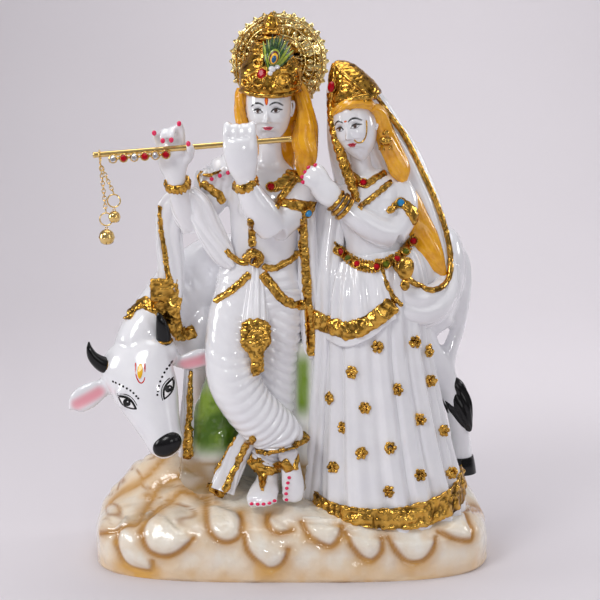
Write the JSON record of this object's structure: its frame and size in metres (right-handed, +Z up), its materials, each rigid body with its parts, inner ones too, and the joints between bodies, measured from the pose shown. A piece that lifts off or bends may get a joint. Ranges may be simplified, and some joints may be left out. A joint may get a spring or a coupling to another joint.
{
  "type": "radha krishna statue",
  "caption": "Glossy white and gold figure group on a rock base: a crowned flute player with crossed leg, a veiled companion and a cow behind them.",
  "frame": {"origin": "on the flat underside of the rock base, in the middle of its width and depth", "axes": "+Z up, the group's height; the front faces -Y; +X is the viewer's right when facing it"},
  "size_m": [0.2351, 0.1018, 0.3049],
  "materials": {
    "painted_casting": "glossy white enamel with gold, yellow, green, black and brown paint over a marble-dust-filled resin casting",
    "gold_metal": "bright gold-plated thin brass",
    "red_stone": "faceted red glass stone, foiled back",
    "clear_stone": "faceted clear glass stone, foiled back",
    "green_stone": "faceted olive green glass stone, foiled back",
    "blue_stone": "opaque turquoise blue glass stone"
  },
  "bodies": {
    "root": {"statue_casting": "painted_casting", "flute": "gold_metal", "cup_strip": "gold_metal", "flute_ring": "gold_metal", "chain_long": "gold_metal", "chain_short": "gold_metal", "bell_ring_long": "gold_metal", "bell_ring_short": "gold_metal", "bell_long": "gold_metal", "bell_short": "gold_metal", "player_crown_stone": "red_stone", "player_necklace_stone": "red_stone", "companion_crown_stone": "red_stone", "companion_necklace_stone": "red_stone", "player_armlet_stone": "blue_stone", "companion_armlet_stone": "blue_stone", "belt_stone_1": "red_stone", "belt_stone_2": "green_stone", "belt_stone_3": "red_stone", "belt_stone_4": "green_stone", "belt_stone_5": "red_stone", "belt_stone_6": "green_stone", "belt_stone_7": "red_stone", "belt_stone_8": "green_stone", "belt_stone_9": "red_stone", "flute_stone_1": "clear_stone", "flute_stone_2": "red_stone", "flute_stone_3": "clear_stone", "flute_stone_4": "red_stone", "flute_stone_5": "clear_stone", "flute_stone_6": "red_stone"}
  },
  "joints": []
}
